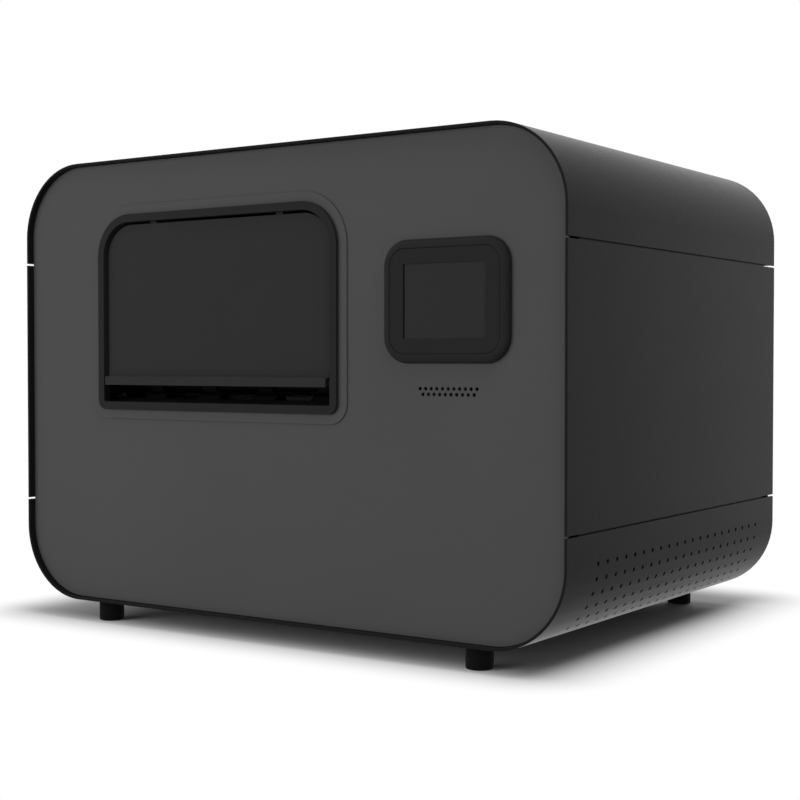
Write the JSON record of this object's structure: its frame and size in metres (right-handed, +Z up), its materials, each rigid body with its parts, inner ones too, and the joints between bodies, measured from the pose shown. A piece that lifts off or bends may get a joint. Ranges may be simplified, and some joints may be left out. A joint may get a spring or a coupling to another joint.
{
  "type": "braille embosser",
  "caption": "Desktop braille embosser: rounded steel casing with a hinged cover, a window flap with a paper slot, a touch screen pod and an embossing carriage inside.",
  "frame": {"origin": "on the ground under the middle of the body, at the lowest point of the feet", "axes": "+Z up, +X to the right as seen from the front, the front with the window faces -Y"},
  "size_m": [0.76, 0.565, 0.5575],
  "materials": {
    "casing_paint": "satin",
    "panel_paint": "satin",
    "plated_steel": "satin",
    "dark_plastic": "matte",
    "flap_plastic": "satin",
    "screen_glass": "gloss",
    "foot_rubber": "matte",
    "belt_rubber": "matte",
    "roller_rubber": "matte",
    "foam": "matte",
    "bright_steel": "polished",
    "bronze": "satin",
    "cast_alloy": "satin",
    "board_green": "satin",
    "motor_black": "satin",
    "black_steel": "satin",
    "grey_plastic": "matte",
    "white_plastic": "satin",
    "red_plastic": "gloss"
  },
  "bodies": {
    "casing": {"lower_tray": "casing_paint", "left_side_panel": "casing_paint", "right_side_panel": "casing_paint", "front_panel": "panel_paint", "rear_panel": "panel_paint", "base_plate": "plated_steel", "left_frame": "plated_steel", "right_frame": "plated_steel", "tie_bars": "plated_steel", "rubber_feet": "foot_rubber", "foot_screws": "bright_steel", "window_frame": "dark_plastic", "flap_pins": "bright_steel", "pod_housing": "dark_plastic", "pod_face": "dark_plastic", "display_glass": "screen_glass", "display_board": "board_green", "speaker": "dark_plastic", "cover_hinge_base": "motor_black", "guide_rods": "bright_steel", "die_bar": "cast_alloy", "stepper_motors": "motor_black", "motor_brackets": "plated_steel", "drive_belts": "belt_rubber", "shaft_bearings": "bright_steel", "paper_guides": "black_steel", "fan_housing": "dark_plastic", "power_supply": "plated_steel", "control_board": "board_green", "power_inlet": "dark_plastic", "data_ports": "bright_steel"},
    "top_cover": {"top_cover": "casing_paint", "cover_rear_panel": "panel_paint", "cover_hinge_leaf": "motor_black", "acoustic_foam": "foam"},
    "front_flap": {"front_flap": "flap_plastic", "flap_ledge": "flap_plastic"},
    "carriage": {"carriage": "cast_alloy", "carriage_bushes": "bronze", "embossing_head": "cast_alloy"},
    "punch_pins": {"punch_pins": "bright_steel"},
    "drive_pulley": {"drive_pulley": "cast_alloy"},
    "idler_pulley": {"idler_pulley": "cast_alloy"},
    "feed_shaft": {"feed_shaft": "bright_steel", "feed_gear": "bronze"},
    "feed_pinion": {"feed_pinion": "cast_alloy"},
    "exit_roller": {"exit_roller": "roller_rubber"},
    "pinch_roller": {"pinch_roller": "roller_rubber"},
    "tractor_left": {"tractor_left_frame": "grey_plastic", "tractor_left_belt": "belt_rubber"},
    "tractor_left_sprocket": {"tractor_left_sprocket": "white_plastic"},
    "tractor_left_lid": {"tractor_left_lid": "grey_plastic"},
    "tractor_left_lever": {"tractor_left_lever": "red_plastic"},
    "tractor_right": {"tractor_right_frame": "grey_plastic", "tractor_right_belt": "belt_rubber"},
    "tractor_right_sprocket": {"tractor_right_sprocket": "white_plastic"},
    "tractor_right_lid": {"tractor_right_lid": "grey_plastic"},
    "tractor_right_lever": {"tractor_right_lever": "red_plastic"},
    "fan_rotor": {"fan_rotor": "dark_plastic"},
    "power_rocker": {"power_rocker": "red_plastic"}
  },
  "joints": [
    {"name": "cover_hinge", "type": "hinge", "parent": "casing", "child": "top_cover", "pos_m": [0, 0.2785, 0.446], "axis": [-1, 0, 0], "range_deg": [0, 70]},
    {"name": "flap_hinge", "type": "hinge", "parent": "casing", "child": "front_flap", "pos_m": [-0.0793, -0.2761, 0.4858], "axis": [-1, 0, 0], "range_deg": [0, 62]},
    {"name": "carriage_slide", "type": "slide", "parent": "casing", "child": "carriage", "axis": [1, 0, 0], "range_m": [0, 0.3]},
    {"name": "punch_stroke", "type": "slide", "parent": "carriage", "child": "punch_pins", "axis": [0, 0, -1], "range_m": [0, 0.0025], "stiffness_N_per_m": 1000, "springref_m": -0.001},
    {"name": "drive_pulley_spin", "type": "hinge", "parent": "casing", "child": "drive_pulley", "pos_m": [-0.313, -0.11, 0.401], "axis": [0, -1, 0], "range_deg": [-5, 1400]},
    {"name": "idler_pulley_spin", "type": "hinge", "parent": "casing", "child": "idler_pulley", "pos_m": [0.141, -0.11, 0.401], "axis": [0, -1, 0], "range_deg": [-5, 1400]},
    {"name": "feed_spin", "type": "hinge", "parent": "casing", "child": "feed_shaft", "pos_m": [0, 0.06, 0.2571], "axis": [1, 0, 0], "continuous": true},
    {"name": "pinion_spin", "type": "hinge", "parent": "casing", "child": "feed_pinion", "pos_m": [0, 0.06, 0.2151], "axis": [1, 0, 0], "continuous": true},
    {"name": "exit_spin", "type": "hinge", "parent": "casing", "child": "exit_roller", "pos_m": [0, -0.225, 0.2662], "axis": [1, 0, 0], "continuous": true},
    {"name": "pinch_spin", "type": "hinge", "parent": "casing", "child": "pinch_roller", "pos_m": [0, -0.225, 0.2873], "axis": [1, 0, 0], "continuous": true},
    {"name": "tractor_left_slide", "type": "slide", "parent": "casing", "child": "tractor_left", "axis": [1, 0, 0], "range_m": [0, 0.04]},
    {"name": "tractor_left_sprocket_spin", "type": "hinge", "parent": "tractor_left", "child": "tractor_left_sprocket", "pos_m": [-0.239, 0.06, 0.2571], "axis": [1, 0, 0], "continuous": true},
    {"name": "tractor_left_lid_hinge", "type": "hinge", "parent": "tractor_left", "child": "tractor_left_lid", "pos_m": [-0.255, 0.0854, 0.282], "axis": [0, -1, 0], "range_deg": [0, 100]},
    {"name": "tractor_left_lever_turn", "type": "hinge", "parent": "tractor_left", "child": "tractor_left_lever", "pos_m": [-0.254, 0.1108, 0.2571], "axis": [1, 0, 0], "range_deg": [0, 50]},
    {"name": "tractor_right_slide", "type": "slide", "parent": "casing", "child": "tractor_right", "axis": [-1, 0, 0], "range_m": [0, 0.2]},
    {"name": "tractor_right_sprocket_spin", "type": "hinge", "parent": "tractor_right", "child": "tractor_right_sprocket", "pos_m": [0.079, 0.06, 0.2571], "axis": [1, 0, 0], "continuous": true},
    {"name": "tractor_right_lid_hinge", "type": "hinge", "parent": "tractor_right", "child": "tractor_right_lid", "pos_m": [0.095, 0.0854, 0.282], "axis": [0, 1, 0], "range_deg": [0, 100]},
    {"name": "tractor_right_lever_turn", "type": "hinge", "parent": "tractor_right", "child": "tractor_right_lever", "pos_m": [0.094, 0.1108, 0.2571], "axis": [1, 0, 0], "range_deg": [0, 50]},
    {"name": "fan_spin", "type": "hinge", "parent": "casing", "child": "fan_rotor", "pos_m": [0.24, 0.26, 0.19], "axis": [0, 1, 0], "continuous": true},
    {"name": "rocker_press", "type": "hinge", "parent": "casing", "child": "power_rocker", "pos_m": [0.2493, 0.2731, 0.0745], "axis": [1, 0, 0], "range_deg": [-16, 0]}
  ],
  "couplings": [
    {"joint": "drive_pulley_spin", "follows": "carriage_slide", "rad_per_m": 78.74},
    {"joint": "idler_pulley_spin", "follows": "carriage_slide", "rad_per_m": 78.74},
    {"joint": "pinion_spin", "follows": "feed_spin", "ratio": -2.5},
    {"joint": "exit_spin", "follows": "feed_spin", "ratio": 1.6},
    {"joint": "pinch_spin", "follows": "feed_spin", "ratio": -2.5},
    {"joint": "tractor_left_sprocket_spin", "follows": "feed_spin", "ratio": 1},
    {"joint": "tractor_right_sprocket_spin", "follows": "feed_spin", "ratio": 1}
  ]
}
